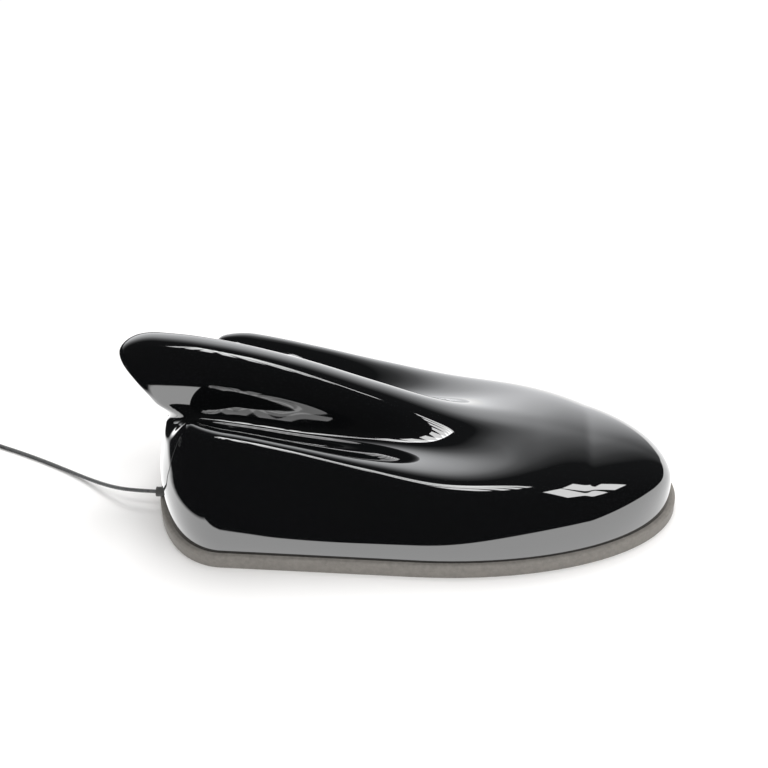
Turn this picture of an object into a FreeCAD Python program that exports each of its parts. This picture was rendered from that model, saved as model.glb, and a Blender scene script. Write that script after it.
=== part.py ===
"""Shark-fin roof antenna: a gloss cover on a rubber gasket, with its boards, elements and thin lead.

Millimetres, +Z up, +X towards the nose. The origin is the middle of the gasket's underside.
"""

import math
import os

import FreeCAD
import Part

V = FreeCAD.Vector

# Plan of the cover's rim: straight sides, a blunt elliptical tail and a long elliptical nose
COVER_LENGTH = 154.0
COVER_HALF_WIDTH = 38.3
TAIL_LENGTH = 23.0
NOSE_LENGTH = 75.0
WALL = 2.2
RIM_Z = 4.0

# Side view: height of the crown at each distance from the tail, and its rounding at tip and nose
CROWN = [(0.0, 53.6), (20.0, 52.3), (42.0, 46.8), (64.0, 38.8), (86.0, 31.4), (110.0, 28.0), (128.0, 25.0)]
TIP_Z = 45.5
TIP_LENGTH = 10.0
TIP_CLOSING = 5.5
NOSE_TIP_Z = 9.0
NOSE_DROP_LENGTH = 40.0

# Tail in side view: how far forward of the rim the body and the fin stand at each height
BODY_TAIL = [(4.0, 0.0), (14.0, -0.8), (22.0, 0.5), (30.0, 2.0), (38.0, 3.0)]
FIN_TAIL = [(18.0, 6.1), (21.5, 6.0), (28.0, 1.7), (33.5, -2.3), (40.0, -7.2), (46.0, -10.8), (62.0, -11.5)]
TAIL_FADE = 85.0

# Half sections from rim to crown, as shares of the half width and of the height there
TAIL_SECTION = [(1.0, 0.0), (0.995, 0.10), (0.93, 0.24), (0.82, 0.38), (0.72, 0.44), (0.28, 0.48),
                (0.215, 0.62), (0.215, 0.79), (0.125, 0.975), (0.0, 1.0)]
FIN_SECTION = [(1.0, 0.0), (0.995, 0.09), (0.92, 0.26), (0.79, 0.66), (0.69, 0.76), (0.28, 0.48),
               (0.215, 0.62), (0.215, 0.79), (0.125, 0.975), (0.0, 1.0)]
NOSE_SECTION = [(1.0, 0.0), (0.99, 0.15), (0.945, 0.41), (0.855, 0.69), (0.71, 0.86), (0.50, 0.945),
                (0.32, 0.98), (0.19, 0.995), (0.09, 1.0), (0.0, 1.0)]
TAIL_RISE = 13.0
SECTION_CHANGE = (36.0, 122.0)
FIN_FOOT = (0.50, 0.68)

# Fineness of the cover's surface, and the step that measures its normals
STATIONS = 34
SECTION_POINTS = 30
NORMAL_STEP = 0.005

# Gasket and base plate
GASKET_LIP = 1.8
GASKET_FLOOR = 1.2
GASKET_EDGE_RADIUS = 0.8
PLATE_CLEARANCE = 0.3
PLATE_RIM_INSET = 2.0
PLATE_RIM_WIDTH = 2.4
PLATE_RIM_HEIGHT = 3.0

# Threaded mount in the base plate
MOUNT_X = -16.0
MOUNT_RADIUS = 4.0
MOUNT_DEPTH = 9.0
MOUNT_BOSS_RADIUS = 8.0
MOUNT_BOSS_TOP = 3.0
MOUNT_WINDOW = 12.0

# Screws from below into posts of the cover
SCREW_FROM_TAIL = 27.0
SCREW_FROM_NOSE = 43.0
SCREW_FROM_SIDE = 13.3
SCREW_RADIUS = 1.5
SCREW_LENGTH = 11.0
SCREW_HEAD_RADIUS = 2.8
SCREW_HEAD_HEIGHT = 1.6
SCREW_CLEARANCE = 0.2
SLOT_LENGTH = 3.0
SLOT_WIDTH = 0.75
SLOT_DEPTH = 0.8
POST_RADIUS = 3.2

# Main board on four pillars
BOARD_FROM_TAIL = 19.0
BOARD_FROM_NOSE = 27.0
BOARD_HALF_WIDTH = 17.0
BOARD_THICKNESS = 1.6
BOARD_CORNER = 3.0
PILLAR_HEIGHT = 3.0
PILLAR_RADIUS = 2.6
PILLAR_INSET = 4.0
BOARD_HOLE_CLEARANCE = 0.6
BOARD_SCREW_RADIUS = 1.0
BOARD_SCREW_HEAD = 1.9
BOARD_SCREW_HEAD_HEIGHT = 1.3
BOARD_SCREW_ROUNDING = 0.65
BOARD_SCREW_LENGTH = 4.4

# Patch antenna with its silvered face, feed pin and foam pad
PATCH_FROM_NOSE = 50.0
PATCH_SIDE = 25.0
PATCH_HEIGHT = 4.0
PATCH_CHAMFER = 1.5
FACE_SIDE = 20.0
FACE_THICKNESS = 0.15
FACE_NOTCH = 2.4
FEED_RADIUS = 0.9
FEED_OFFSET = 2.5
FEED_DOME_RADIUS = 1.44
FEED_DOME_HEIGHT = 0.5
FEED_DOME_ROUNDING = 0.3
FOAM_SIDE = 12.0
FOAM_HEIGHT = 3.0
FOAM_CORNER = 2.0
FOAM_HOLE_RADIUS = 1.8

# Screening cans over the amplifiers
CAN_FROM_BOSS = 2.0
CAN_Y = 9.4
CAN_LENGTH = 24.0
CAN_WIDTH = 13.0
CAN_HEIGHT = 4.5
CAN_WALL = 0.4
CAN_CORNER = 1.0
CAN_TOP_ROUNDING = 0.5
AMPLIFIER_SIDE = 6.0
AMPLIFIER_HEIGHT = 1.2

# Upright board in the fin (distance from the tail, height above the main board), its radio cap and the coil
FIN_TOP_EDGE = [(11.0, 39.0), (27.0, 36.5)]
FIN_BOARD = ([(20.0, 0.0), (20.0, 24.0), (11.0, 33.0)] + FIN_TOP_EDGE
             + [(39.0, 33.0), (50.0, 29.0), (50.0, 0.0)])
FIN_BOARD_THICKNESS = 1.6
CAP_FROM_TAIL = (13.0, 26.0)
CAP_WALL = 0.5
CAP_DEPTH = 3.0
COIL_X = 4.0
COIL_Y = 8.0
COIL_RADIUS = 3.4
COIL_HEIGHT = 13.0
COIL_ROUNDING = 0.6
COIL_CORE_RADIUS = 1.6
COIL_CORE_RISE = 1.5

# Lead: thin coaxial cable with its grommet, clamp, wound spare length, tie and connector
LEAD_RADIUS = 0.6
LEAD_Y = -13.0
LEAD_RISE = 1.2
GROMMET_PROUD = 1.4
GROMMET_RADIUS = 1.5
GROMMET_LENGTH = 10.5
LEAD_ROUTE = [(-78.4, -13.0, 5.2), (-86.0, -13.0, 5.2), (-94.0, -9.2, 3.2), (-103.0, -3.4, 1.2),
              (-113.0, 2.2, 0.6), (-124.0, 7.4, 0.6), (-135.0, 11.9, 0.6), (-145.0, 15.6, 0.6)]
LEAD_ARC_SHARE = 0.45
LEAD_GAP = 0.05
CLAMP_FROM_TAIL = 10.0
CLAMP_LENGTH = 7.0
CLAMP_HALF_WIDTH = 2.5
CLAMP_HEIGHT = 2.8
CLAMP_CORNER = 0.8
LOOP_RADIUS = 6.6
LOOP_WIDTH = 3.8
LOOP_HEIGHT = 3.7
LOOP_CORNER = 0.8
TIE_WIDTH = 2.4
TIE_WALL = 0.5
END_LENGTH = 7.0
END_Z = 3.0
PLUG_LENGTH = 16.0
PLUG_SIDE = 6.0
PLUG_CORNER = 1.2
PLUG_COLLAR = 3.0
PLUG_COLLAR_RADIUS = 1.8
PLUG_SOCKET_RADIUS = 2.2
PLUG_SOCKET_DEPTH = 8.0
PLUG_PIN_RADIUS = 0.5
PLUG_PIN_INSET = 2.0

# Places that follow from the sizes above
TAIL_X = -COVER_LENGTH / 2.0
NOSE_X = COVER_LENGTH / 2.0
PLATE_TOP = RIM_Z
BOARD_Z = PLATE_TOP + PILLAR_HEIGHT
BOARD_TOP = BOARD_Z + BOARD_THICKNESS
BOARD_X = (TAIL_X + BOARD_FROM_TAIL, NOSE_X - BOARD_FROM_NOSE)
SCREW_TIP_Z = GASKET_FLOOR + SCREW_LENGTH
SCREW_PLACES = [(x, side * (COVER_HALF_WIDTH - SCREW_FROM_SIDE))
                for x in (TAIL_X + SCREW_FROM_TAIL, NOSE_X - SCREW_FROM_NOSE) for side in (-1, 1)]
PILLAR_PLACES = [(x, side * (BOARD_HALF_WIDTH - PILLAR_INSET))
                 for x in (BOARD_X[0] + PILLAR_INSET, BOARD_X[1] - PILLAR_INSET) for side in (-1, 1)]
PATCH_X = NOSE_X - PATCH_FROM_NOSE
PATCH_TOP = BOARD_TOP + PATCH_HEIGHT
FACE_TOP = PATCH_TOP + FACE_THICKNESS
FEED_X = PATCH_X + FEED_OFFSET
CAN_X = MOUNT_X - MOUNT_BOSS_RADIUS - CAN_FROM_BOSS - CAN_LENGTH / 2
LEAD_EXIT = V(TAIL_X - GROMMET_PROUD, LEAD_Y, RIM_Z + LEAD_RISE)
CLAMP_X = (TAIL_X + CLAMP_FROM_TAIL, TAIL_X + CLAMP_FROM_TAIL + CLAMP_LENGTH)
LOOP_OUTSIDE = LOOP_RADIUS + LOOP_WIDTH / 2
LOOP_INSIDE = LOOP_RADIUS - LOOP_WIDTH / 2
LOOP_REACH = LOOP_OUTSIDE + LEAD_RADIUS + LEAD_GAP


def smooth(t):
    """Eases from 0 to 1."""
    t = min(max(t, 0.0), 1.0)
    return t * t * (3.0 - 2.0 * t)


def round_off(t):
    """Quarter-ellipse rise from 0 to 1."""
    t = min(max(t, 0.0), 1.0)
    return math.sqrt(1.0 - (1.0 - t) ** 2)


def curve(points, at):
    """Smooth value through points of rising position: cubics with slopes from each point's neighbours."""
    if at <= points[0][0]:
        return points[0][1]
    if at >= points[-1][0]:
        return points[-1][1]
    slopes = []
    for k in range(len(points)):
        x0, z0 = points[max(k - 1, 0)]
        x1, z1 = points[min(k + 1, len(points) - 1)]
        slopes.append((z1 - z0) / (x1 - x0))
    k = max(j for j in range(len(points) - 1) if points[j][0] <= at)
    (x0, z0), (x1, z1) = points[k], points[k + 1]
    span = x1 - x0
    t = (at - x0) / span
    rise = z0 * (1 + 2 * t) * (1 - t) ** 2 + z1 * t * t * (3 - 2 * t)
    return rise + span * (slopes[k] * t * (1 - t) ** 2 - slopes[k + 1] * t * t * (1 - t))


def section_point(poles, t):
    """Point of a uniform cubic B-spline through a half section, mirrored at the crown; t runs 0 to 1."""
    (y0, z0), (y1, z1) = poles[0], poles[1]
    full = [(2 * y0 - y1, 2 * z0 - z1)] + poles + [(-poles[-2][0], poles[-2][1])]
    spans = len(poles) - 1
    k = min(int(t * spans), spans - 1)
    s = t * spans - k
    weights = ((1 - s) ** 3, 3 * s ** 3 - 6 * s * s + 4, -3 * s ** 3 + 3 * s * s + 3 * s + 1, s ** 3)
    return [sum(w * full[k + j][axis] for j, w in enumerate(weights)) / 6.0 for axis in (0, 1)]


def cover_point(way, t):
    """Point of the cover's skin: way runs 0 to 1 from tail to nose, t from rim to crown."""
    run = COVER_LENGTH * 0.5 * (1.0 - math.cos(math.pi * way))
    to_nose = COVER_LENGTH - run
    crown = TIP_Z + (curve(CROWN, run) - TIP_Z) * round_off(run / TIP_LENGTH)
    crown = NOSE_TIP_Z + (crown - NOSE_TIP_Z) * round_off(to_nose / NOSE_DROP_LENGTH)
    rise = smooth(run / TAIL_RISE)
    share = smooth((run - SECTION_CHANGE[0]) / (SECTION_CHANGE[1] - SECTION_CHANGE[0]))
    poles = []
    for (yt, zt), (ya, za), (yb, zb) in zip(TAIL_SECTION, FIN_SECTION, NOSE_SECTION):
        ya, za = yt + (ya - yt) * rise, zt + (za - zt) * rise
        poles.append((ya + (yb - ya) * share, za + (zb - za) * share))
    y, z = section_point(poles, t)
    z = RIM_Z + (crown - RIM_Z) * z
    fin = smooth((t - FIN_FOOT[0]) / (FIN_FOOT[1] - FIN_FOOT[0]))
    closing = TAIL_LENGTH + (TIP_CLOSING - TAIL_LENGTH) * fin
    y *= COVER_HALF_WIDTH * round_off(run / closing) * round_off(to_nose / NOSE_LENGTH)
    fade = max(1.0 - run / TAIL_FADE, 0.0) ** 2
    lean = curve(BODY_TAIL, z) * (1.0 - fin) + curve(FIN_TAIL, z) * fin
    return V(TAIL_X + run + lean * fade, -y, z)


def inner_point(way, t):
    """Point of the cover's inner skin: one wall in from the outer, its rim drawn down past the cover's."""
    at = min(max(way, NORMAL_STEP), 1.0 - NORMAL_STEP)
    high = min(max(t, NORMAL_STEP), 1.0 - NORMAL_STEP)
    along = cover_point(at + NORMAL_STEP, high) - cover_point(at - NORMAL_STEP, high)
    up = cover_point(at, high + NORMAL_STEP) - cover_point(at, high - NORMAL_STEP)
    normal = along.cross(up)
    point = cover_point(way, t)
    if way in (0.0, 1.0) or t == 1.0:
        normal.y = point.y = 0.0
    point -= normal.normalize() * WALL
    if t == 0.0:
        point.z = RIM_Z - WALL
    return point


def cover_form(place):
    """Closed solid of a skin: a half surface, its flat faces, and the mirror of both."""
    grid = [[place(i / STATIONS, j / SECTION_POINTS) for j in range(SECTION_POINTS + 1)]
            for i in range(STATIONS + 1)]
    skin = Part.BSplineSurface()
    skin.interpolate(grid)
    face = skin.toShape()
    level = [e for e in face.Edges if e.BoundBox.YLength > WALL]
    middle = [e for e in face.Edges if e.BoundBox.YLength <= WALL]
    base_line = Part.makeLine(grid[0][0], grid[-1][0])
    keel = Part.Face(Part.Wire(Part.__sortEdges__(middle + [base_line])))
    sole = Part.Face(Part.Wire(Part.__sortEdges__(level + [base_line])))
    shell = Part.Shell([face, keel, sole])
    shell.sewShape()
    half = Part.Solid(shell)
    if half.Volume < 0:
        half.reverse()
    return half.fuse(half.mirror(V(), V(0, 1, 0))).removeSplitter()


def plan_face(inset, z):
    """Flat face of the rim's plan, drawn in by inset: two ellipse ends and two straight sides."""
    half = COVER_HALF_WIDTH - inset
    tail = TAIL_X + TAIL_LENGTH
    nose = NOSE_X - NOSE_LENGTH

    def end(x, reach, start):
        centre = V(x, 0, z)
        along = V(0, half, 0) if half >= reach else V(reach, 0, 0)
        side = V(-reach, 0, 0) if half >= reach else V(0, half, 0)
        ellipse = Part.Ellipse(centre + along, centre + side, centre)
        return Part.ArcOfEllipse(ellipse, start, start + math.pi).toShape()

    edges = [
        end(tail, TAIL_LENGTH - inset, 0.0),
        end(nose, NOSE_LENGTH - inset, -math.pi / 2),
        Part.makeLine(V(tail, half, z), V(nose, half, z)),
        Part.makeLine(V(tail, -half, z), V(nose, -half, z)),
    ]
    return Part.Face(Part.Wire(Part.__sortEdges__(edges)))


def plan_block(inset, z0, z1):
    return plan_face(inset, z0).extrude(V(0, 0, z1 - z0))


def post(x, y, radius, z0, z1):
    return Part.makeCylinder(radius, z1 - z0, V(x, y, z0))


def block(x0, x1, y0, y1, z0, z1, corner=0.0):
    """Box between two corners, its upright edges rounded by corner."""
    box = Part.makeBox(x1 - x0, y1 - y0, z1 - z0, V(x0, y0, z0))
    if not corner:
        return box
    return box.makeFillet(corner, [e for e in box.Edges if e.BoundBox.ZLength > (z1 - z0) / 2])


def square(x, y, side, z0, z1, corner=0.0):
    half = side / 2
    return block(x - half, x + half, y - half, y + half, z0, z1, corner)


def lead_bore(radius):
    """Round bar along the lead's way through the cover's tail."""
    return Part.makeCylinder(radius, GROMMET_LENGTH, LEAD_EXIT, V(1, 0, 0))


def cover():
    """Moulded shell with screw posts inside and a bore for the lead in its tail."""
    outer = cover_form(cover_point)
    shell = outer.cut(cover_form(inner_point))
    posts = [post(x, y, POST_RADIUS, PLATE_TOP, CROWN[0][1]) for x, y in SCREW_PLACES]
    shell = shell.fuse([p.common(outer) for p in posts])
    pilots = [post(x, y, SCREW_RADIUS, RIM_Z, SCREW_TIP_Z) for x, y in SCREW_PLACES]
    return shell.cut(pilots + [lead_bore(GROMMET_RADIUS)])


def base_plate():
    """Die-cast chassis: plate, low rim, mount boss and board pillars."""
    edge = WALL + PLATE_CLEARANCE
    body = plan_block(edge, GASKET_FLOOR, PLATE_TOP)
    rim_edge = edge + PLATE_RIM_INSET
    rim = plan_block(rim_edge, PLATE_TOP, PLATE_TOP + PLATE_RIM_HEIGHT)
    rim = rim.cut(plan_block(rim_edge + PLATE_RIM_WIDTH, PLATE_TOP, PLATE_TOP + PLATE_RIM_HEIGHT))
    boss_top = GASKET_FLOOR + MOUNT_DEPTH + MOUNT_BOSS_TOP
    boss = post(MOUNT_X, 0, MOUNT_BOSS_RADIUS, PLATE_TOP, boss_top)
    pillars = [post(x, y, PILLAR_RADIUS, PLATE_TOP, BOARD_Z) for x, y in PILLAR_PLACES]
    body = body.fuse([rim, boss] + pillars)
    cuts = [post(MOUNT_X, 0, MOUNT_RADIUS, GASKET_FLOOR, GASKET_FLOOR + MOUNT_DEPTH)]
    for x, y in SCREW_PLACES:
        cuts.append(post(x, y, SCREW_RADIUS + SCREW_CLEARANCE, GASKET_FLOOR, PLATE_TOP))
        head_top = GASKET_FLOOR + SCREW_HEAD_HEIGHT
        cuts.append(post(x, y, SCREW_HEAD_RADIUS + SCREW_CLEARANCE, GASKET_FLOOR, head_top))
        cuts.append(post(x, y, POST_RADIUS + SCREW_CLEARANCE, PLATE_TOP, PLATE_TOP + PLATE_RIM_HEIGHT))
    for x, y in PILLAR_PLACES:
        cuts.append(post(x, y, BOARD_SCREW_RADIUS, BOARD_TOP - BOARD_SCREW_LENGTH, BOARD_Z))
    cuts.append(lead_bore(GROMMET_RADIUS))
    return body.cut(cuts).removeSplitter()


def gasket():
    """Rubber seal: a lip round the cover, a thin floor under the plate and a window at the mount."""
    body = plan_block(-GASKET_LIP, 0.0, RIM_Z)
    top = [e for e in body.Edges if e.BoundBox.ZMin > RIM_Z - GASKET_EDGE_RADIUS]
    body = body.makeFillet(GASKET_EDGE_RADIUS, top)
    recess = plan_block(WALL + PLATE_CLEARANCE, GASKET_FLOOR, RIM_Z)
    window = post(MOUNT_X, 0, MOUNT_WINDOW, 0, GASKET_FLOOR)
    return body.cut([recess, window, lead_bore(GROMMET_RADIUS)])


def cover_screws():
    """Four screws with crossed slots, driven up from the plate's underside."""
    screws = []
    for x, y in SCREW_PLACES:
        head = post(x, y, SCREW_HEAD_RADIUS, GASKET_FLOOR, GASKET_FLOOR + SCREW_HEAD_HEIGHT)
        shank = post(x, y, SCREW_RADIUS, GASKET_FLOOR, SCREW_TIP_Z)
        slot = block(x - SLOT_LENGTH / 2, x + SLOT_LENGTH / 2, y - SLOT_WIDTH / 2, y + SLOT_WIDTH / 2,
                     GASKET_FLOOR, GASKET_FLOOR + SLOT_DEPTH)
        cross = slot.copy()
        cross.rotate(V(x, y, 0), V(0, 0, 1), 90)
        screws.append(head.fuse(shank).cut([slot, cross]))
    return Part.makeCompound(screws)


def main_board():
    body = block(*BOARD_X, -BOARD_HALF_WIDTH, BOARD_HALF_WIDTH, BOARD_Z, BOARD_TOP, BOARD_CORNER)
    holes = [post(x, y, BOARD_SCREW_RADIUS, BOARD_Z, BOARD_TOP) for x, y in PILLAR_PLACES]
    holes.append(post(MOUNT_X, 0, MOUNT_BOSS_RADIUS + BOARD_HOLE_CLEARANCE, BOARD_Z, BOARD_TOP))
    return body.cut(holes)


def board_screws():
    screws = []
    for x, y in PILLAR_PLACES:
        shank = post(x, y, BOARD_SCREW_RADIUS, BOARD_TOP - BOARD_SCREW_LENGTH, BOARD_TOP)
        head = post(x, y, BOARD_SCREW_HEAD, BOARD_TOP, BOARD_TOP + BOARD_SCREW_HEAD_HEIGHT)
        top = [e for e in head.Edges if e.BoundBox.ZMin > BOARD_TOP + BOARD_SCREW_HEAD_HEIGHT / 2]
        screws.append(head.makeFillet(BOARD_SCREW_ROUNDING, top).fuse(shank))
    return Part.makeCompound(screws)


def patch_ceramic():
    body = square(PATCH_X, 0, PATCH_SIDE, BOARD_TOP, PATCH_TOP)
    upright = [e for e in body.Edges if e.BoundBox.ZLength > PATCH_HEIGHT / 2]
    body = body.makeChamfer(PATCH_CHAMFER, upright)
    return body.cut(post(FEED_X, 0, FEED_RADIUS, BOARD_TOP, PATCH_TOP))


def patch_face():
    """Silvered square with one clipped corner pair, which sets the polarisation."""
    body = square(PATCH_X, 0, FACE_SIDE, PATCH_TOP, FACE_TOP)
    clipped = [e for e in body.Edges if e.BoundBox.ZLength > FACE_THICKNESS / 2]
    clipped = [e for e in clipped if (e.CenterOfMass.x - PATCH_X) * e.CenterOfMass.y > 0]
    body = body.makeChamfer(FACE_NOTCH, clipped)
    return body.cut(post(FEED_X, 0, FEED_RADIUS, PATCH_TOP, FACE_TOP))


def feed_pin():
    shank = post(FEED_X, 0, FEED_RADIUS, BOARD_TOP, FACE_TOP)
    dome = post(FEED_X, 0, FEED_DOME_RADIUS, FACE_TOP, FACE_TOP + FEED_DOME_HEIGHT)
    rim = [e for e in dome.Edges if e.BoundBox.ZMin > FACE_TOP + FEED_DOME_HEIGHT / 2]
    return shank.fuse(dome.makeFillet(FEED_DOME_ROUNDING, rim))


def foam_pad():
    body = square(PATCH_X, 0, FOAM_SIDE, FACE_TOP, FACE_TOP + FOAM_HEIGHT, FOAM_CORNER)
    return body.cut(post(FEED_X, 0, FOAM_HOLE_RADIUS, FACE_TOP, FACE_TOP + FOAM_HEIGHT))


def screening_can(side):
    """Folded lid over one amplifier, on the given side of the middle."""
    x0, x1 = CAN_X - CAN_LENGTH / 2, CAN_X + CAN_LENGTH / 2
    y0, y1 = side * CAN_Y - CAN_WIDTH / 2, side * CAN_Y + CAN_WIDTH / 2
    outside = block(x0, x1, y0, y1, BOARD_TOP, BOARD_TOP + CAN_HEIGHT, CAN_CORNER)
    top = [e for e in outside.Edges if e.BoundBox.ZMin > BOARD_TOP + CAN_HEIGHT - CAN_WALL]
    outside = outside.makeFillet(CAN_TOP_ROUNDING, top)
    inside = block(x0 + CAN_WALL, x1 - CAN_WALL, y0 + CAN_WALL, y1 - CAN_WALL, BOARD_TOP,
                   BOARD_TOP + CAN_HEIGHT - CAN_WALL)
    return outside.cut(inside)


def amplifier(side):
    return square(CAN_X, side * CAN_Y, AMPLIFIER_SIDE, BOARD_TOP, BOARD_TOP + AMPLIFIER_HEIGHT)


def fin_slab(points, half):
    """Upright slab on the middle line: points are distance from the tail and height above the main board."""
    corners = [V(TAIL_X + run, -half, BOARD_TOP + z) for run, z in points]
    return Part.Face(Part.makePolygon(corners + corners[:1])).extrude(V(0, 2 * half, 0))


def fin_board():
    return fin_slab(FIN_BOARD, FIN_BOARD_THICKNESS / 2)


def radio_cap():
    """Folded metal channel that rides on the upright board's top edge."""
    (x0, z0), (x1, z1) = FIN_TOP_EDGE
    top = [(run, z0 + (z1 - z0) * (run - x0) / (x1 - x0)) for run in CAP_FROM_TAIL]
    ring = [(run, z + CAP_WALL) for run, z in top] + [(run, z - CAP_DEPTH) for run, z in reversed(top)]
    return fin_slab(ring, FIN_BOARD_THICKNESS / 2 + CAP_WALL).cut(fin_board())


def coil_core():
    return post(COIL_X, COIL_Y, COIL_CORE_RADIUS, BOARD_TOP, BOARD_TOP + COIL_HEIGHT + COIL_CORE_RISE)


def coil_winding():
    z1 = BOARD_TOP + COIL_HEIGHT
    tube = post(COIL_X, COIL_Y, COIL_RADIUS, BOARD_TOP, z1)
    tube = tube.makeFillet(COIL_ROUNDING, [e for e in tube.Edges if e.BoundBox.ZLength < COIL_ROUNDING])
    return tube.cut(post(COIL_X, COIL_Y, COIL_CORE_RADIUS, BOARD_TOP, z1))


def lead_grommet():
    return lead_bore(GROMMET_RADIUS).cut(lead_bore(LEAD_RADIUS))


def lead_inside():
    """Stretch of the lead through the grommet and the clamp on the plate."""
    return Part.makeCylinder(LEAD_RADIUS, CLAMP_X[1] - LEAD_EXIT.x, LEAD_EXIT, V(1, 0, 0))


def lead_clamp():
    body = block(*CLAMP_X, LEAD_Y - CLAMP_HALF_WIDTH, LEAD_Y + CLAMP_HALF_WIDTH, PLATE_TOP,
                 PLATE_TOP + CLAMP_HEIGHT, CLAMP_CORNER)
    return body.cut(lead_inside())


def lead_tube():
    """Round tube along the route: straight runs joined by tangent arcs."""
    points = [V(*p) for p in LEAD_ROUTE]
    edges, at = [], points[0]
    for before, corner, after in zip(points, points[1:], points[2:]):
        come, go = before - corner, after - corner
        cut = LEAD_ARC_SHARE * min(come.Length, go.Length)
        turn = math.pi - come.getAngle(go)
        come.normalize()
        go.normalize()
        radius = cut / math.tan(turn / 2)
        print("lead arc radius", round(radius, 1))
        start, end = corner + come * cut, corner + go * cut
        middle = corner + (come + go).normalize() * (radius / math.cos(turn / 2) - radius)
        edges += [Part.LineSegment(at, start).toShape(), Part.Arc(start, middle, end).toShape()]
        at = end
    edges.append(Part.LineSegment(at, points[-1]).toShape())
    path = Part.Wire(edges)
    ring = Part.Wire(Part.makeCircle(LEAD_RADIUS, points[0], points[1] - points[0]))
    tube = path.makePipeShell([ring], True, False)
    print("lead length", round(path.Length, 1), "volume ratio",
          round(tube.Volume / (path.Length * math.pi * LEAD_RADIUS ** 2), 4))
    return tube


def loop_centre():
    """Middle of the wound spare lead, which the route's last run passes at a tangent."""
    before, end = (V(x, y, 0) for x, y, z in LEAD_ROUTE[-2:])
    way = (end - before).normalize()
    return end + V(-way.y, way.x, 0) * LOOP_REACH


def loop_ring():
    centre = loop_centre()
    outside = post(centre.x, centre.y, LOOP_OUTSIDE, 0, LOOP_HEIGHT)
    return outside.cut(post(centre.x, centre.y, LOOP_INSIDE, 0, LOOP_HEIGHT))


def lead_loop():
    """Outer form of the wound spare lead: a ring of close turns."""
    ring = loop_ring()
    return ring.makeFillet(LOOP_CORNER, [e for e in ring.Edges if e.BoundBox.ZMin > LOOP_HEIGHT / 2])


def lead_tie():
    """Soft band bent over the wound lead."""
    centre = loop_centre()
    band = block(centre.x - TIE_WIDTH / 2, centre.x + TIE_WIDTH / 2, centre.y - LOOP_OUTSIDE - TIE_WALL,
                 centre.y - LOOP_INSIDE + TIE_WALL, 0, LOOP_HEIGHT + TIE_WALL)
    return band.cut(loop_ring())


def end_start():
    """Where the lead leaves the wound turns, level with the top layer."""
    centre = loop_centre()
    return V(centre.x, centre.y + LOOP_REACH, END_Z)


def lead_end():
    return Part.makeCylinder(LEAD_RADIUS, END_LENGTH, end_start(), V(-1, 0, 0))


def plug_mouth():
    return end_start() - V(END_LENGTH + PLUG_COLLAR + PLUG_LENGTH, 0, 0)


def lead_plug():
    """Square coaxial connector: collar, body and open socket."""
    mouth = plug_mouth()
    half = PLUG_SIDE / 2
    body = Part.makeBox(PLUG_LENGTH, PLUG_SIDE, PLUG_SIDE, mouth - V(0, half, half))
    body = body.makeFillet(PLUG_CORNER, [e for e in body.Edges if e.BoundBox.XLength > PLUG_LENGTH / 2])
    collar = Part.makeCylinder(PLUG_COLLAR_RADIUS, PLUG_COLLAR, mouth + V(PLUG_LENGTH, 0, 0), V(1, 0, 0))
    socket = Part.makeCylinder(PLUG_SOCKET_RADIUS, PLUG_SOCKET_DEPTH, mouth, V(1, 0, 0))
    return body.fuse(collar).cut(socket)


def plug_pin():
    start = plug_mouth() + V(PLUG_PIN_INSET, 0, 0)
    return Part.makeCylinder(PLUG_PIN_RADIUS, PLUG_SOCKET_DEPTH - PLUG_PIN_INSET, start, V(1, 0, 0))


if __name__ == "__main__":
    os.makedirs("parts", exist_ok=True)
    PIECES = {
        "cover": cover(),
        "base_plate": base_plate(),
        "gasket": gasket(),
        "cover_screws": cover_screws(),
        "main_board": main_board(),
        "board_screws": board_screws(),
        "patch_ceramic": patch_ceramic(),
        "patch_face": patch_face(),
        "feed_pin": feed_pin(),
        "foam_pad": foam_pad(),
        "left_can": screening_can(1),
        "right_can": screening_can(-1),
        "left_amplifier": amplifier(1),
        "right_amplifier": amplifier(-1),
        "fin_board": fin_board(),
        "radio_cap": radio_cap(),
        "coil_core": coil_core(),
        "coil_winding": coil_winding(),
        "lead_grommet": lead_grommet(),
        "lead_inside": lead_inside(),
        "lead_clamp": lead_clamp(),
        "lead": lead_tube(),
        "lead_loop": lead_loop(),
        "lead_tie": lead_tie(),
        "lead_end": lead_end(),
        "lead_plug": lead_plug(),
        "plug_pin": plug_pin(),
    }
    for name, shape in PIECES.items():
        print(name, shape.isValid(), len(shape.Solids), round(shape.Volume, 1))
        shape.exportStep(f"parts/{name}.step")
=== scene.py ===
# %% [markdown]
# # A shark-fin roof antenna
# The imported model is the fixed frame. It holds every piece at its real size and place, and this
# lesson dresses it: a smooth gloss cover, the rubber gasket, the thin lead and its wound spare length.

# %% Load the frame
import math

import bpy
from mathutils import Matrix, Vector


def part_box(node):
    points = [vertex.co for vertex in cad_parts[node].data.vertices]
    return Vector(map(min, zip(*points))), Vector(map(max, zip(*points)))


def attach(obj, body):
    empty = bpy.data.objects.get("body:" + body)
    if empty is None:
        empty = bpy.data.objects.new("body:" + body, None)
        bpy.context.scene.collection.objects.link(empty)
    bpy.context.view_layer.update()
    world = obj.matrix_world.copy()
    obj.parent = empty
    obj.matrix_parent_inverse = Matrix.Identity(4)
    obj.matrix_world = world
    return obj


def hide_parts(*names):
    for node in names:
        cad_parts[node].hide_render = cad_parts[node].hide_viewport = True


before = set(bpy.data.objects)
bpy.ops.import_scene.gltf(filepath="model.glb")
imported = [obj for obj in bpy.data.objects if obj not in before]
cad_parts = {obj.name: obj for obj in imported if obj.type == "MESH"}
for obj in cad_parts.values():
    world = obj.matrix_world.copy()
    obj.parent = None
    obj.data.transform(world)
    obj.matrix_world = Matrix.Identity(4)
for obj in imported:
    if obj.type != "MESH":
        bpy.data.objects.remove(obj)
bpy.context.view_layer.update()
MM = 0.001
print("nodes:", len(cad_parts))

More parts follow.
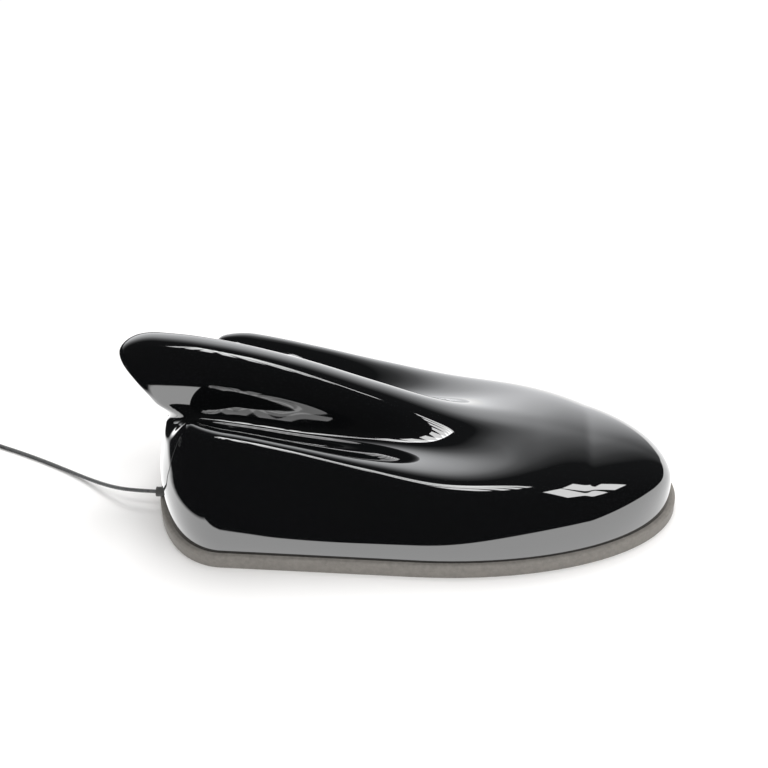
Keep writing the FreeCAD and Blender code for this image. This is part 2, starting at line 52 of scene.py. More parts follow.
# %% [markdown]
# Small helpers come first. Colours are written as sRGB hex values and turned to linear once, and one
# function adds a shader node with its settings and links.


# %% Helpers for colours, nodes and materials
def srgb(code):
    channels = [int(code[k:k + 2], 16) / 255.0 for k in (1, 3, 5)]
    linear = [c / 12.92 if c <= 0.04045 else ((c + 0.055) / 1.055) ** 2.4 for c in channels]
    return (*linear, 1.0)


def add_node(tree, kind, links=None, **settings):
    """Adds a node. Settings are properties or sockets; links map a socket to another node's output."""
    node = tree.nodes.new(kind)
    for name, value in settings.items():
        if name.startswith("in_"):
            key = name[3:]
            node.inputs[int(key) if key.isdigit() else key.replace("_", " ")].default_value = value
        else:
            setattr(node, name, value)
    for name, output in (links or {}).items():
        tree.links.new(output, node.inputs[name])
    return node


def new_material(name, colour, roughness, **sockets):
    """A Principled material, returned with its tree and shader for further nodes."""
    material = bpy.data.materials.new(name)
    material.use_nodes = True
    tree = material.node_tree
    shader = tree.nodes["Principled BSDF"]
    shader.inputs["Base Color"].default_value = srgb(colour)
    shader.inputs["Roughness"].default_value = roughness
    for key, value in sockets.items():
        shader.inputs[key.replace("_", " ")].default_value = value
    return material, tree, shader


def per_mm(size_mm):
    """Texture scale that gives a pattern this size on Object coordinates, which are metres."""
    return 1.0 / (size_mm * MM)


def dress(node, material):
    """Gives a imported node's object its finish."""
    mesh = bpy.data.objects[node].data
    mesh.materials.clear()
    mesh.materials.append(material)


# %% [markdown]
# ## The camera
# The photograph looks down on the near side from about 36 degrees, with the nose turned slightly
# towards the lens. The shift only places the object in the frame as the photograph does.

# %% Camera
VIEW_ELEVATION = 36.0
VIEW_AZIMUTH = 4.2
VIEW_DISTANCE = 0.400
VIEW_AIM = Vector((0.0, 0.0, 0.020))
VIEW_LENS_MM = 62.2
VIEW_SHIFT = (-0.0436, 0.0703)

elevation, azimuth = math.radians(VIEW_ELEVATION), math.radians(VIEW_AZIMUTH)
towards = Vector((math.sin(azimuth) * math.cos(elevation), -math.cos(azimuth) * math.cos(elevation),
                  math.sin(elevation)))
camera_data = bpy.data.cameras.new("view")
camera_data.lens = VIEW_LENS_MM
camera_data.shift_x, camera_data.shift_y = VIEW_SHIFT
camera = bpy.data.objects.new("view", camera_data)
camera.location = VIEW_AIM + towards * VIEW_DISTANCE
camera.rotation_euler = (-towards).to_track_quat("-Z", "Y").to_euler()
bpy.context.scene.collection.objects.link(camera)
bpy.context.scene.camera = camera
print("camera at", [round(c, 3) for c in camera.location])

# %% [markdown]
# ## The cover
# The real cover is one moulding. Its skin is drawn from a side view, a plan and two sections that
# flow into each other, so it could be a subdivided cage; a fine grid laid on those curves is chosen
# because gloss black shows every wobble, and the curves give it none.

# %% Curves of the cover
COVER_LENGTH = 154.0
COVER_HALF_WIDTH = 38.3
TAIL_LENGTH = 23.0
NOSE_LENGTH = 75.0
WALL = 2.2
RIM_Z = 4.0
CROWN = [(0.0, 53.6), (20.0, 52.3), (42.0, 46.8), (64.0, 38.8), (86.0, 31.4), (110.0, 28.0), (128.0, 25.0)]
TIP_Z = 45.5
TIP_LENGTH = 10.0
TIP_CLOSING = 5.5
NOSE_TIP_Z = 9.0
NOSE_DROP_LENGTH = 40.0
BODY_TAIL = [(4.0, 0.0), (14.0, -0.8), (22.0, 0.5), (30.0, 2.0), (38.0, 3.0)]
FIN_TAIL = [(18.0, 6.1), (21.5, 6.0), (28.0, 1.7), (33.5, -2.3), (40.0, -7.2), (46.0, -10.8), (62.0, -11.5)]
TAIL_FADE = 85.0
TAIL_SECTION = [(1.0, 0.0), (0.995, 0.10), (0.93, 0.24), (0.82, 0.38), (0.72, 0.44), (0.28, 0.48),
                (0.215, 0.62), (0.215, 0.79), (0.125, 0.975), (0.0, 1.0)]
FIN_SECTION = [(1.0, 0.0), (0.995, 0.09), (0.92, 0.26), (0.79, 0.66), (0.69, 0.76), (0.28, 0.48),
               (0.215, 0.62), (0.215, 0.79), (0.125, 0.975), (0.0, 1.0)]
NOSE_SECTION = [(1.0, 0.0), (0.99, 0.15), (0.945, 0.41), (0.855, 0.69), (0.71, 0.86), (0.50, 0.945),
                (0.32, 0.98), (0.19, 0.995), (0.09, 1.0), (0.0, 1.0)]
TAIL_RISE = 13.0
SECTION_CHANGE = (36.0, 122.0)
FIN_FOOT = (0.50, 0.68)


def smooth(t):
    t = min(max(t, 0.0), 1.0)
    return t * t * (3.0 - 2.0 * t)


def round_off(t):
    t = min(max(t, 0.0), 1.0)
    return math.sqrt(1.0 - (1.0 - t) ** 2)


def curve(points, at):
    """Smooth value through points of rising position."""
    if at <= points[0][0]:
        return points[0][1]
    if at >= points[-1][0]:
        return points[-1][1]
    slopes = []
    for k in range(len(points)):
        x0, z0 = points[max(k - 1, 0)]
        x1, z1 = points[min(k + 1, len(points) - 1)]
        slopes.append((z1 - z0) / (x1 - x0))
    k = max(j for j in range(len(points) - 1) if points[j][0] <= at)
    (x0, z0), (x1, z1) = points[k], points[k + 1]
    span = x1 - x0
    t = (at - x0) / span
    rise = z0 * (1 + 2 * t) * (1 - t) ** 2 + z1 * t * t * (3 - 2 * t)
    return rise + span * (slopes[k] * t * (1 - t) ** 2 - slopes[k + 1] * t * t * (1 - t))


def section_point(poles, t):
    """Point of a cubic B-spline half section; t runs from rim to crown."""
    (y0, z0), (y1, z1) = poles[0], poles[1]
    full = [(2 * y0 - y1, 2 * z0 - z1)] + poles + [(-poles[-2][0], poles[-2][1])]
    spans = len(poles) - 1
    k = min(int(t * spans), spans - 1)
    s = t * spans - k
    weights = ((1 - s) ** 3, 3 * s ** 3 - 6 * s * s + 4, -3 * s ** 3 + 3 * s * s + 3 * s + 1, s ** 3)
    return [sum(w * full[k + j][axis] for j, w in enumerate(weights)) / 6.0 for axis in (0, 1)]


def cover_point(run, t):
    """Point of the skin: run goes from tail to nose, t from near rim (0) over crown (1) to far rim (2)."""
    to_nose = COVER_LENGTH - run
    crown = TIP_Z + (curve(CROWN, run) - TIP_Z) * round_off(run / TIP_LENGTH)
    crown = NOSE_TIP_Z + (crown - NOSE_TIP_Z) * round_off(to_nose / NOSE_DROP_LENGTH)
    rise = smooth(run / TAIL_RISE)
    share = smooth((run - SECTION_CHANGE[0]) / (SECTION_CHANGE[1] - SECTION_CHANGE[0]))
    poles = []
    for (yt, zt), (ya, za), (yb, zb) in zip(TAIL_SECTION, FIN_SECTION, NOSE_SECTION):
        ya, za = yt + (ya - yt) * rise, zt + (za - zt) * rise
        poles.append((ya + (yb - ya) * share, za + (zb - za) * share))
    side = -1.0 if t <= 1.0 else 1.0
    t = min(t, 2.0 - t)
    y, z = section_point(poles, t)
    z = RIM_Z + (crown - RIM_Z) * z
    fin = smooth((t - FIN_FOOT[0]) / (FIN_FOOT[1] - FIN_FOOT[0]))
    closing = TAIL_LENGTH + (TIP_CLOSING - TAIL_LENGTH) * fin
    y *= COVER_HALF_WIDTH * round_off(run / closing) * round_off(to_nose / NOSE_LENGTH)
    fade = max(1.0 - run / TAIL_FADE, 0.0) ** 2
    lean = curve(BODY_TAIL, z) * (1.0 - fin) + curve(FIN_TAIL, z) * fin
    return Vector((run - COVER_LENGTH / 2 + lean * fade, side * y, z)) * MM


# %% [markdown]
# The grid's columns crowd towards tail and nose, where the skin turns fastest. The skin is then given
# the wall's thickness inwards, so the cover is a hollow shell like the moulding.

# %% Cover
COVER_STATIONS = 180
COVER_STRIPS = 176


def deselect():
    bpy.ops.object.select_all(action="DESELECT")


def apply_modifier(piece, kind, **settings):
    """Adds one modifier to a piece and applies it."""
    deselect()
    bpy.context.view_layer.objects.active = piece
    piece.select_set(True)
    modifier = piece.modifiers.new(kind.lower(), kind)
    for name, value in settings.items():
        setattr(modifier, name, value)
    bpy.ops.object.modifier_apply(modifier=modifier.name)


def gloss_cover():
    deselect()
    bpy.ops.mesh.primitive_grid_add(x_subdivisions=COVER_STATIONS, y_subdivisions=COVER_STRIPS, size=2.0)
    piece = bpy.context.object
    piece.name = "gloss_cover"
    for vertex in piece.data.vertices:
        turn = math.pi * (vertex.co.x + 1.0) / 2.0
        run = COVER_LENGTH * 0.5 * (1.0 - math.cos(turn))
        vertex.co = cover_point(run, vertex.co.y + 1.0)
    bpy.ops.object.mode_set(mode="EDIT")
    bpy.ops.mesh.select_all(action="SELECT")
    bpy.ops.mesh.remove_doubles(threshold=1e-6)
    bpy.ops.mesh.normals_make_consistent(inside=False)
    bpy.ops.object.mode_set(mode="OBJECT")
    apply_modifier(piece, "SOLIDIFY", thickness=WALL * MM, offset=-1.0, use_even_offset=False)
    bpy.ops.object.shade_smooth_by_angle(angle=math.radians(50))
    return piece


cover = gloss_cover()
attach(cover, "root")
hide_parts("cover")
print("cover faces:", len(cover.data.polygons))

# %% [markdown]
# Gloss black ABS is as smooth as its polished mould and shows the room as a sharp mirror, a little
# stronger than bare plastic because of its hard top coat. One flat colour would look like a render, so
# fine dust dulls it in specks, a faint wiping haze changes the gloss, and a very low swell in the
# surface makes reflections swim as they do on a real moulding.

# %% Gloss black of the cover
DUST_MM = 1.6  # from speck to speck
HAZE_MM = 22.0  # a wiped patch, about a fingertip
SWELL_MM = 9.0  # from crest to crest of the moulding's swell


def gloss_black():
    material, tree, shader = new_material("gloss_black_abs", "#0a0b0c", 0.03, IOR=1.9, Coat_Weight=1.0,
                                          Coat_IOR=1.8, Coat_Roughness=0.02)
    place = add_node(tree, "ShaderNodeTexCoord").outputs["Object"]
    dust = add_node(tree, "ShaderNodeTexVoronoi", {"Vector": place}, in_Scale=per_mm(DUST_MM),
                    in_Randomness=1.0)
    speck = add_node(tree, "ShaderNodeMapRange", {0: dust.outputs["Distance"]}, in_1=0.035, in_2=0.07,
                     in_3=1.0, in_4=0.0)
    haze = add_node(tree, "ShaderNodeTexNoise", {"Vector": place}, in_Scale=per_mm(HAZE_MM), in_Detail=5.0)
    lying = add_node(tree, "ShaderNodeMapRange", {0: haze.outputs["Fac"]}, in_1=0.52, in_2=0.7)
    fleck = add_node(tree, "ShaderNodeMath", {0: speck.outputs[0], 1: lying.outputs[0]}, operation="MULTIPLY")
    colour = add_node(tree, "ShaderNodeMix", {0: fleck.outputs[0]}, data_type="RGBA", in_6=srgb("#0a0b0c"),
                      in_7=srgb("#4c4b49"))
    gloss = add_node(tree, "ShaderNodeMapRange", {0: haze.outputs["Fac"]}, in_1=0.3, in_2=0.8, in_3=0.02,
                     in_4=0.06)
    swell = add_node(tree, "ShaderNodeTexNoise", {"Vector": place}, in_Scale=per_mm(SWELL_MM), in_Detail=1.0)
    relief = add_node(tree, "ShaderNodeBump", {"Height": swell.outputs["Fac"]}, in_Strength=0.02,
                      in_Distance=0.1 * MM)
    tree.links.new(colour.outputs[2], shader.inputs["Base Color"])
    tree.links.new(gloss.outputs[0], shader.inputs["Roughness"])
    tree.links.new(relief.outputs[0], shader.inputs["Normal"])
    return material


cover.data.materials.append(gloss_black())
print("cover finish:", cover.data.materials[0].name)

# %% [markdown]
# ## The lead
# The lead is a thin coaxial cable. It leaves the tail straight, sinks to the table and runs off to the
# left. Its spare length is wound in six close turns outside the picture: inwards along the table, back
# outwards on top of them, and up over the rim into the connector. The turns follow a short plan of radius and
# height against turns, so that each lies a cable's width from the next.

# %% Lead
LEAD_RADIUS = 0.6
LEAD_ROUTE = [(-78.4, -13.0, 5.2), (-86.0, -13.0, 5.2), (-94.0, -9.2, 3.2), (-103.0, -3.4, 1.2),
              (-113.0, 2.2, 0.6), (-124.0, 7.4, 0.6), (-135.0, 11.9, 0.6), (-145.0, 15.6, 0.6)]
TURN_RADII = [(0.0, 9.15), (0.4, 7.9), (0.7, 7.9), (2.7, 5.3), (3.2, 5.3), (5.2, 7.9), (5.75, 7.9),
              (6.0, 9.15)]
TURN_HEIGHTS = [(0.0, 0.6), (2.7, 0.6), (3.2, 1.85), (5.2, 1.85), (5.7, 3.05), (6.0, 3.0)]
TURN_POINTS = 16


def between(rows, at):
    """Straight value between the rows of a short table."""
    for (t0, v0), (t1, v1) in zip(rows, rows[1:]):
        if at <= t1:
            return v0 + (v1 - v0) * max(at - t0, 0.0) / (t1 - t0)
    return rows[-1][1]


def lead_points():
    """The route, then the wound turns, then the straight way into the connector's collar."""
    low, high = (Vector(corner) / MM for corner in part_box("lead_loop"))
    centre = (low + high) / 2
    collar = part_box("lead_plug")[1][0] / MM
    points = [Vector(p) for p in LEAD_ROUTE]
    start = math.atan2(points[-1].y - centre.y, points[-1].x - centre.x)
    turns = TURN_RADII[-1][0] + (math.pi / 2 - start) / (2 * math.pi)
    steps = round(turns * TURN_POINTS)
    for k in range(1, steps + 1):
        turn = turns * k / steps
        angle = start + 2 * math.pi * turn
        radius = between(TURN_RADII, turn)
        points.append(Vector((centre.x + radius * math.cos(angle), centre.y + radius * math.sin(angle),
                              between(TURN_HEIGHTS, turn))))
    last = points[-1]
    points.append(Vector(((last.x + collar) / 2, last.y, last.z)))
    points.append(Vector((collar, last.y, last.z)))
    return points


def lead_cable():
    data = bpy.data.curves.new("lead_cable", "CURVE")
    data.dimensions = "3D"
    spline = data.splines.new("NURBS")
    points = lead_points()
    spline.points.add(len(points) - 1)
    for target, point in zip(spline.points, points):
        target.co = (*(point * MM), 1.0)
        target.radius = LEAD_RADIUS * MM
    spline.order_u = 3
    spline.use_endpoint_u = True
    data.bevel_depth = 1.0  # times each point's own radius, which also sets the curve's box
    data.bevel_resolution = 4
    data.resolution_u = 6
    data.use_fill_caps = True
    piece = bpy.data.objects.new("lead_cable", data)
    bpy.context.scene.collection.objects.link(piece)
    return piece


lead = lead_cable()
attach(lead, "root")
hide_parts("lead", "lead_loop", "lead_end")
bpy.context.view_layer.update()
print("lead points:", len(lead.data.splines[0].points))

# %% [markdown]
# ## Plain finishes with a grain
# Most of the other pieces are one material with a grain: rubber with talc on it, cast metal, drawn
# steel, pressed ceramic. One function makes such a finish. The grain's size is given in millimetres, and it
# moves the colour between two tones, the gloss between two roughnesses, and the surface a little.


# %% Grained finishes
def grained(name, dark, pale, grain_mm, roughness, relief_mm, stretch=(1.0, 1.0, 1.0), **sockets):
    """Finish whose colour, gloss and height follow one grain; stretch draws the grain out along an axis."""
    material, tree, shader = new_material(name, pale, roughness[0], **sockets)
    place = add_node(tree, "ShaderNodeTexCoord").outputs["Object"]
    drawn = add_node(tree, "ShaderNodeMapping", {"Vector": place}, in_Scale=stretch)
    grain = add_node(tree, "ShaderNodeTexNoise", {"Vector": drawn.outputs[0]}, in_Scale=per_mm(grain_mm),
                     in_Detail=6.0, in_Roughness=0.65)
    tone = add_node(tree, "ShaderNodeMapRange", {0: grain.outputs["Fac"]}, in_1=0.3, in_2=0.7)
    colour = add_node(tree, "ShaderNodeMix", {0: tone.outputs[0]}, data_type="RGBA", in_6=srgb(dark),
                      in_7=srgb(pale))
    gloss = add_node(tree, "ShaderNodeMapRange", {0: tone.outputs[0]}, in_3=roughness[0], in_4=roughness[1])
    relief = add_node(tree, "ShaderNodeBump", {"Height": grain.outputs["Fac"]}, in_Strength=0.6,
                      in_Distance=relief_mm * MM)
    tree.links.new(colour.outputs[2], shader.inputs["Base Color"])
    tree.links.new(gloss.outputs[0], shader.inputs["Roughness"])
    tree.links.new(relief.outputs[0], shader.inputs["Normal"])
    return material


DRAWN_ALONG_X = (0.08, 1.0, 1.0)
talced_rubber = grained("talced_rubber", "#7a7671", "#8f8b85", 1.4, (0.55, 0.8), 0.04)
grey_rubber = grained("grey_rubber", "#4a4a49", "#5d5c5a", 0.9, (0.5, 0.75), 0.04)
cable_jacket = grained("pvc_cable_jacket", "#4b4c4d", "#666767", 1.1, (0.35, 0.5), 0.01)
cast_alloy = grained("die_cast_alloy", "#8d9092", "#a9acad", 0.7, (0.38, 0.6), 0.05, Metallic=1.0)
zinc_steel = grained("zinc_plated_steel", "#a8a795", "#c6c7c0", 0.5, (0.25, 0.42), 0.01, Metallic=1.0)
tinplate = grained("rolled_tinplate", "#a9acae", "#c9cbcc", 0.4, (0.2, 0.38), 0.01, DRAWN_ALONG_X,
                   Metallic=1.0)
silvering = grained("fired_silver_paste", "#b3b0a6", "#d8d6cf", 0.35, (0.3, 0.5), 0.01, Metallic=1.0)
brass_pin = grained("turned_brass", "#a5843d", "#c8a559", 0.3, (0.2, 0.35), 0.01, Metallic=1.0)
ceramic = grained("pressed_ceramic", "#c9bda6", "#dccfb8", 0.5, (0.45, 0.6), 0.02)
ferrite = grained("sintered_ferrite", "#25262a", "#3a3b3f", 0.4, (0.4, 0.6), 0.02)
chip_epoxy = grained("chip_epoxy", "#141516", "#1f2021", 0.25, (0.45, 0.6), 0.01)
nylon = grained("moulded_nylon", "#d5d2c6", "#e4e1d6", 1.0, (0.4, 0.55), 0.02)
plug_plastic = grained("spark_eroded_plastic", "#1c1d1f", "#2b2c2e", 0.35, (0.45, 0.65), 0.03)

lead.data.materials.append(cable_jacket)
FINISHES = {
    "gasket": talced_rubber, "base_plate": cast_alloy, "cover_screws": zinc_steel, "board_screws": zinc_steel,
    "patch_ceramic": ceramic, "patch_face": silvering, "feed_pin": tinplate, "left_can": tinplate,
    "right_can": tinplate, "left_amplifier": chip_epoxy, "right_amplifier": chip_epoxy,
    "radio_cap": brass_pin, "coil_core": ferrite, "lead_grommet": grey_rubber, "lead_inside": cable_jacket,
    "lead_clamp": nylon, "lead_plug": plug_plastic, "plug_pin": brass_pin,
}
for node, finish in FINISHES.items():
    dress(node, finish)
print("grained finishes on", len(FINISHES), "pieces")

# %% [markdown]
# ## Finishes with a pattern
# Five pieces show how they were made. The boards carry copper tracks under green mask, the coil is wound
# from enamelled wire, the pad is open foam and the tie is woven. Their patterns are drawn at their true
# pitch in millimetres. On the coil, the pad and the tie the hollows are also painted darker, as painted
# shade.

# %% Patterned finishes
TRACK_LENGTH_MM = 7.0
TRACK_PITCH_MM = 1.6
TRACK_SHARE = 0.09  # a track's width against the pitch
WIRE_PITCH_MM = 0.45  # one turn of wire with its enamel
FOAM_CELL_MM = 0.9
THREAD_MM = 0.5
WAVE_TURNS = 20.0 / (2.0 * math.pi)  # bands of the wave texture in one unit at scale 1


def board_green():
    """Green solder mask, a little raised and paler over the copper tracks."""
    material, tree, shader = new_material("green_solder_mask", "#14502f", 0.32)
    place = add_node(tree, "ShaderNodeTexCoord").outputs["Object"]
    tracks = add_node(tree, "ShaderNodeTexBrick", {"Vector": place}, in_Scale=per_mm(1.0),
                      in_Brick_Width=TRACK_LENGTH_MM, in_Row_Height=TRACK_PITCH_MM,
                      in_Mortar_Size=TRACK_SHARE * TRACK_PITCH_MM, in_Color1=srgb("#14502f"),
                      in_Color2=srgb("#175a36"), in_Mortar=srgb("#2f8a52"))
    relief = add_node(tree, "ShaderNodeBump", {"Height": tracks.outputs["Fac"]}, in_Strength=0.5,
                      in_Distance=0.03 * MM)
    tree.links.new(tracks.outputs["Color"], shader.inputs["Base Color"])
    tree.links.new(relief.outputs[0], shader.inputs["Normal"])
    return material


def wound_copper():
    """Enamelled copper wire in close turns up the coil; painted shade darkens the grooves between turns."""
    material, tree, shader = new_material("enamelled_copper", "#b4653a", 0.28, Metallic=1.0)
    place = add_node(tree, "ShaderNodeTexCoord").outputs["Object"]
    turns = add_node(tree, "ShaderNodeTexWave", {"Vector": place}, bands_direction="Z",
                     in_Scale=per_mm(WIRE_PITCH_MM) / WAVE_TURNS)
    # Painted shade: the colour goes dark brown in the grooves between turns, where the bump is lowest.
    colour = add_node(tree, "ShaderNodeMix", {0: turns.outputs["Fac"]}, data_type="RGBA",
                      in_6=srgb("#5e2d18"), in_7=srgb("#c0703f"))
    relief = add_node(tree, "ShaderNodeBump", {"Height": turns.outputs["Fac"]}, in_Strength=0.8,
                      in_Distance=0.12 * MM)
    tree.links.new(colour.outputs[2], shader.inputs["Base Color"])
    tree.links.new(relief.outputs[0], shader.inputs["Normal"])
    return material


def open_foam():
    """Charcoal foam with open cells, painted darker in the cell pits as painted shade."""
    material, tree, shader = new_material("open_cell_foam", "#2c2d30", 0.95)
    place = add_node(tree, "ShaderNodeTexCoord").outputs["Object"]
    cells = add_node(tree, "ShaderNodeTexVoronoi", {"Vector": place}, in_Scale=per_mm(FOAM_CELL_MM))
    # Painted shade: darker at the cell centres, which the bump makes into pits.
    colour = add_node(tree, "ShaderNodeMix", {0: cells.outputs["Distance"]}, data_type="RGBA",
                      in_6=srgb("#17181a"), in_7=srgb("#4a4b4f"))
    relief = add_node(tree, "ShaderNodeBump", {"Height": cells.outputs["Distance"]}, in_Strength=1.0,
                      in_Distance=0.3 * MM)
    tree.links.new(colour.outputs[2], shader.inputs["Base Color"])
    tree.links.new(relief.outputs[0], shader.inputs["Normal"])
    return material


def woven_band():
    """Black woven band: threads across X cross slanting ones, painted darker where they dip, as painted
    shade.
    """
    material, tree, shader = new_material("woven_band", "#1a1a1b", 0.85)
    place = add_node(tree, "ShaderNodeTexCoord").outputs["Object"]
    scale = per_mm(THREAD_MM) / WAVE_TURNS
    warp = add_node(tree, "ShaderNodeTexWave", {"Vector": place}, bands_direction="X", in_Scale=scale)
    weft = add_node(tree, "ShaderNodeTexWave", {"Vector": place}, bands_direction="DIAGONAL", in_Scale=scale)
    cloth = add_node(tree, "ShaderNodeMath", {0: warp.outputs["Fac"], 1: weft.outputs["Fac"]},
                     operation="MULTIPLY")
    # Painted shade: darker where the threads dip, the low places of the bump.
    colour = add_node(tree, "ShaderNodeMix", {0: cloth.outputs[0]}, data_type="RGBA", in_6=srgb("#101011"),
                      in_7=srgb("#38383a"))
    relief = add_node(tree, "ShaderNodeBump", {"Height": cloth.outputs[0]}, in_Strength=0.8,
                      in_Distance=0.1 * MM)
    tree.links.new(colour.outputs[2], shader.inputs["Base Color"])
    tree.links.new(relief.outputs[0], shader.inputs["Normal"])
    return material


green = board_green()
dress("main_board", green)
dress("fin_board", green)
dress("coil_winding", wound_copper())
dress("foam_pad", open_foam())
dress("lead_tie", woven_band())
print("patterned finishes:", green.name)

# %% [markdown]
# ## Floor
# The floor is a white table. A mirror-black cover shows where the table ends: past its front and left edges
# the room is dark, which is what draws the black wall above the grey skirt. So mirror rays that land past
# those edges find dark, and rays that land on the table find its full glare, which the photograph clips.
# Well away from the part the table fades to plain white.

# %% Floor
TABLE_FRONT = -0.140
TABLE_LEFT = -0.112
TABLE_CORNER = -0.222
EDGE_BLUR = 0.004
TABLE_GLARE = 1.5
TABLE_FADE = (0.25, 0.6)
ROOM_DARK = (0.012, 0.012, 0.013, 1.0)


def white_table():
    material, tree, shader = new_material("white_table", "#f4f3f2", 0.9)
    place = add_node(tree, "ShaderNodeTexCoord").outputs["Object"]
    axes = add_node(tree, "ShaderNodeSeparateXYZ", {0: place})
    front = add_node(tree, "ShaderNodeMapRange", {0: axes.outputs["Y"]}, in_1=TABLE_FRONT - EDGE_BLUR,
                     in_2=TABLE_FRONT + EDGE_BLUR, in_3=1.0, in_4=0.0)
    left = add_node(tree, "ShaderNodeMapRange", {0: axes.outputs["X"]}, in_1=TABLE_LEFT - EDGE_BLUR,
                    in_2=TABLE_LEFT + EDGE_BLUR, in_3=1.0, in_4=0.0)
    both_ways = add_node(tree, "ShaderNodeMath", {0: axes.outputs["X"], 1: axes.outputs["Y"]},
                         operation="ADD")
    corner = add_node(tree, "ShaderNodeMapRange", {0: both_ways.outputs[0]}, in_1=TABLE_CORNER - EDGE_BLUR,
                      in_2=TABLE_CORNER + EDGE_BLUR, in_3=1.0, in_4=0.0)
    edges = add_node(tree, "ShaderNodeMath", {0: front.outputs[0], 1: left.outputs[0]}, operation="MAXIMUM")
    beyond = add_node(tree, "ShaderNodeMath", {0: edges.outputs[0], 1: corner.outputs[0]},
                      operation="MAXIMUM")
    away = add_node(tree, "ShaderNodeVectorMath", {0: place}, operation="LENGTH")
    fade = add_node(tree, "ShaderNodeMapRange", {0: away.outputs["Value"]}, in_1=TABLE_FADE[0],
                    in_2=TABLE_FADE[1])
    plain = add_node(tree, "ShaderNodeEmission", in_Color=(1.0, 1.0, 1.0, 1.0))
    seen = add_node(tree, "ShaderNodeMixShader", {0: fade.outputs[0], 1: shader.outputs[0],
                                                  2: plain.outputs[0]})
    tone = add_node(tree, "ShaderNodeMix", {0: beyond.outputs[0]}, data_type="RGBA",
                    in_6=(TABLE_GLARE, TABLE_GLARE, TABLE_GLARE, 1.0), in_7=ROOM_DARK)
    mirrored = add_node(tree, "ShaderNodeEmission", {"Color": tone.outputs[2]})
    ray = add_node(tree, "ShaderNodeLightPath")
    both = add_node(tree, "ShaderNodeMixShader", {0: ray.outputs["Is Glossy Ray"], 1: seen.outputs[0],
                                                  2: mirrored.outputs[0]})
    tree.links.new(both.outputs[0], tree.nodes["Material Output"].inputs[0])
    return material


deselect()
bpy.ops.mesh.primitive_plane_add(size=6.0, location=(0, 0, 0))
floor = bpy.context.object
floor.name = "floor"
floor.data.materials.append(white_table())
print("floor at", round(floor.location.z, 3))

# %% [markdown]
# ## Room and light
# The world lights everything evenly. Mirror rays see a room instead: black in front and overhead, and
# paler towards the back wall, so crest and far side turn grey. Panes of a window high in front draw the
# white streak along the fin and the patch on the nose. A broad lamp from behind throws the soft shadow
# in front of the gasket; it is kept out of mirror rays.

# %% Room and light
ROOM_TONES = [(0.0, 0.012), (0.60, 0.02), (0.675, 0.15), (0.75, 0.40), (0.875, 1.2), (0.96, 1.5)]
NOSE_SHADE = -0.8
EVEN_LIGHT = 0.66


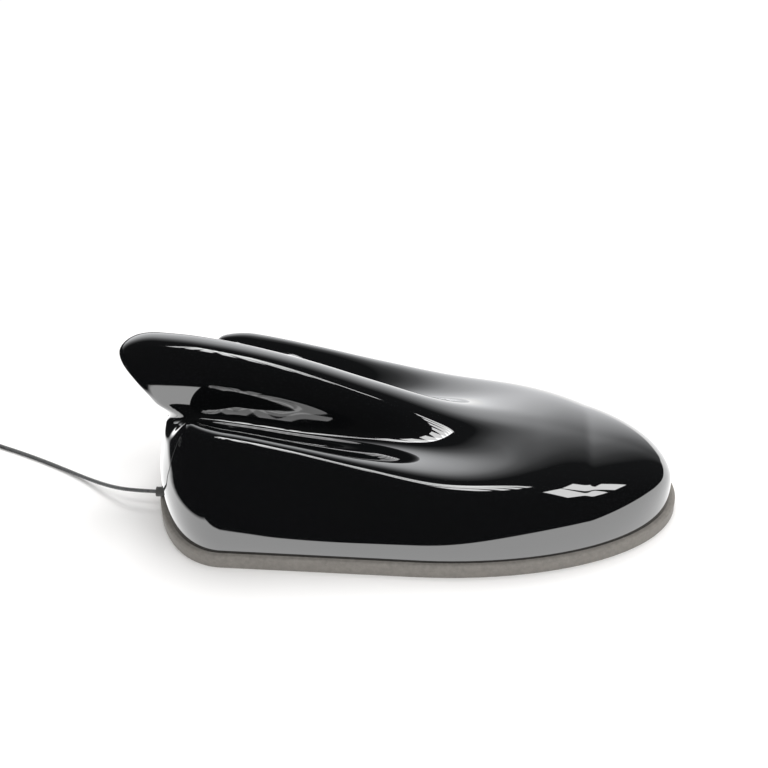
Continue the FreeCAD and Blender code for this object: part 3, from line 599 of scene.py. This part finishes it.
def room():
    world = bpy.data.worlds.new("room")
    world.use_nodes = True
    tree = world.node_tree
    tree.nodes.clear()
    place = add_node(tree, "ShaderNodeTexCoord").outputs["Generated"]
    axes = add_node(tree, "ShaderNodeSeparateXYZ", {0: place})
    nose_side = add_node(tree, "ShaderNodeMath", {0: axes.outputs["X"]}, operation="MAXIMUM", in_1=0.0)
    reach = add_node(tree, "ShaderNodeMath", {0: nose_side.outputs[0], 2: axes.outputs["Y"]},
                     operation="MULTIPLY_ADD", in_1=NOSE_SHADE)
    depth = add_node(tree, "ShaderNodeMapRange", {0: reach.outputs[0]}, in_1=-1.0, in_2=1.0)
    tones = add_node(tree, "ShaderNodeValToRGB", {0: depth.outputs[0]})
    ramp = tones.color_ramp
    while len(ramp.elements) < len(ROOM_TONES):
        ramp.elements.new(0.5)
    for element, (position, grey) in zip(ramp.elements, ROOM_TONES):
        element.position = position
        element.color = (grey, grey * 1.01, grey * 1.03, 1.0)
    ray = add_node(tree, "ShaderNodeLightPath")
    even = add_node(tree, "ShaderNodeBackground", in_Color=(1.0, 1.0, 1.0, 1.0), in_Strength=EVEN_LIGHT)
    mirrored = add_node(tree, "ShaderNodeBackground", {"Color": tones.outputs[0]})
    white = add_node(tree, "ShaderNodeBackground", in_Color=(1.0, 1.0, 1.0, 1.0))
    lit = add_node(tree, "ShaderNodeMixShader", {0: ray.outputs["Is Camera Ray"], 1: even.outputs[0],
                                                 2: white.outputs[0]})
    mixed = add_node(tree, "ShaderNodeMixShader", {0: ray.outputs["Is Glossy Ray"], 1: lit.outputs[0],
                                                   2: mirrored.outputs[0]})
    add_node(tree, "ShaderNodeOutputWorld", {0: mixed.outputs[0]})
    return world


def area_lamp(name, elevation_deg, azimuth_deg, distance, width, depth, watts):
    """Area lamp that faces the object; azimuth 0 is in front, and grows towards the nose."""
    e, a = math.radians(elevation_deg), math.radians(azimuth_deg)
    data = bpy.data.lights.new(name, "AREA")
    data.shape = "RECTANGLE"
    data.size, data.size_y = width, depth
    data.energy = watts
    lamp = bpy.data.objects.new(name, data)
    way = Vector((math.sin(a) * math.cos(e), -math.cos(a) * math.cos(e), math.sin(e)))
    lamp.location = way * distance
    lamp.rotation_euler = (-way).to_track_quat("-Z", "Y").to_euler()
    bpy.context.scene.collection.objects.link(lamp)
    return lamp


bpy.context.scene.world = room()
PANE_DISTANCE = 1.2
PANE_WIDTH = 0.055
PANE_HEIGHT = 0.36
PANE_LIGHT = 3.6
PANE_ELEVATION = 75.0
PANES = [-32.0, -20.0, -8.0, 4.0, 16.0, 28.0, 40.0, 52.0, 64.0]
NOSE_PANES = [62.0, 84.0]
NOSE_PANE_WIDTH = 0.26
NOSE_PANE_ELEVATION = 46.0
for turn in PANES:
    watts = PANE_LIGHT * math.pi * PANE_WIDTH * PANE_HEIGHT
    area_lamp(f"pane_{turn:.0f}", PANE_ELEVATION, turn, PANE_DISTANCE, PANE_WIDTH, PANE_HEIGHT, watts)
for turn in NOSE_PANES:
    watts = PANE_LIGHT * math.pi * NOSE_PANE_WIDTH * PANE_HEIGHT
    area_lamp(f"nose_pane_{turn:.0f}", NOSE_PANE_ELEVATION, turn, PANE_DISTANCE, NOSE_PANE_WIDTH, PANE_HEIGHT,
              watts)
back_lamp = area_lamp("back_lamp", 62.0, 172.0, 1.2, 0.9, 0.5, 9.0)
back_lamp.visible_glossy = False
print("panes:", len(PANES) + len(NOSE_PANES))

# %% [markdown]
# ## Close the lesson

# %% Finish
bpy.context.scene.view_settings.view_transform = "Standard"
